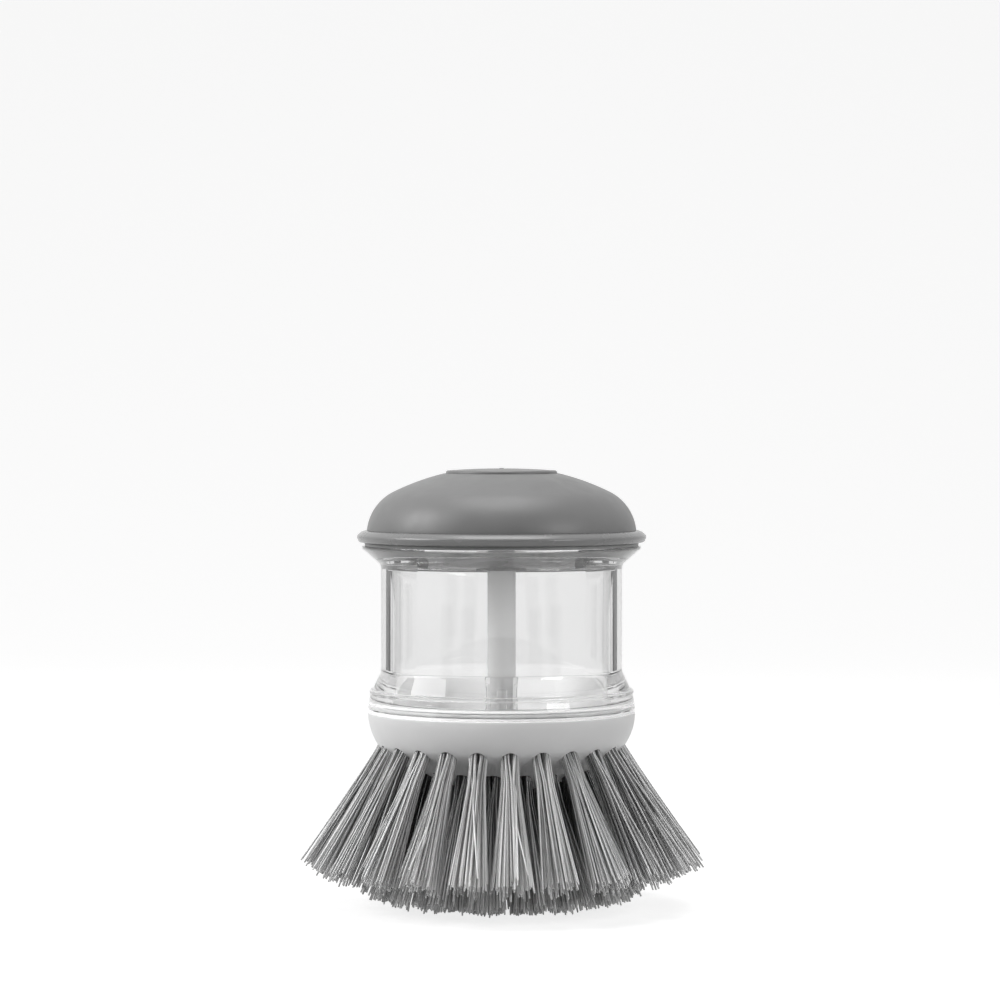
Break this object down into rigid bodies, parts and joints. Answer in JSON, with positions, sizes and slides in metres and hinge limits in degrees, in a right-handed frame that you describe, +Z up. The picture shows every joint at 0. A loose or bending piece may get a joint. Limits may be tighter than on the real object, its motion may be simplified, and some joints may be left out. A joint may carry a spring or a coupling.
{
  "type": "palm brush",
  "caption": "Soap-dispensing palm brush: domed knob with a push button, clear spool-shaped reservoir and a round tufted brush head with flared bristles.",
  "frame": {"origin": "on the brush's axis, in the plane of the lowest bristle tips, which it stands on", "axes": "+Z up through the push button; -Y is the side that the picture shows"},
  "size_m": [0.0766, 0.0766, 0.0839],
  "materials": {
    "grey_grip": "soft satin",
    "grey_rim": "satin",
    "grey_rod": "satin",
    "clear_plastic": "clear, polished",
    "white_plastic": "semi-gloss",
    "silicone": "soft, milky",
    "spring_steel": "bright wire",
    "anchor_wire": "bright wire",
    "bristle": "satin filaments"
  },
  "bodies": {
    "brush": {"reservoir": "clear_plastic", "base_block": "white_plastic", "base_seal": "silicone", "valve_seat": "silicone", "outer_tufts": "bristle", "middle_tufts": "bristle", "inner_tufts": "bristle", "outer_anchors": "anchor_wire", "middle_anchors": "anchor_wire", "inner_anchors": "anchor_wire"},
    "mouth_seal": {"lid_gasket": "silicone"},
    "knob": {"lid": "grey_rim", "rod_seal": "silicone", "knob_shell": "grey_grip", "return_spring": "spring_steel"},
    "plunger": {"push_button": "grey_grip", "push_rod": "grey_rod", "valve_stopper": "silicone"}
  },
  "joints": [
    {"name": "lid_lift", "type": "slide", "parent": "brush", "child": "mouth_seal", "axis": [0, 0, 1], "range_m": [0, 0.05]},
    {"name": "lid_turn", "type": "hinge", "parent": "mouth_seal", "child": "knob", "pos_m": [0, 0, 0.0699], "axis": [0, 0, 1], "range_deg": [0, 60]},
    {"name": "button_press", "type": "slide", "parent": "knob", "child": "plunger", "axis": [0, 0, -1], "range_m": [0, 0.0035], "stiffness_N_per_m": 400, "springref_m": -0.005, "deforming": ["return_spring"]}
  ]
}
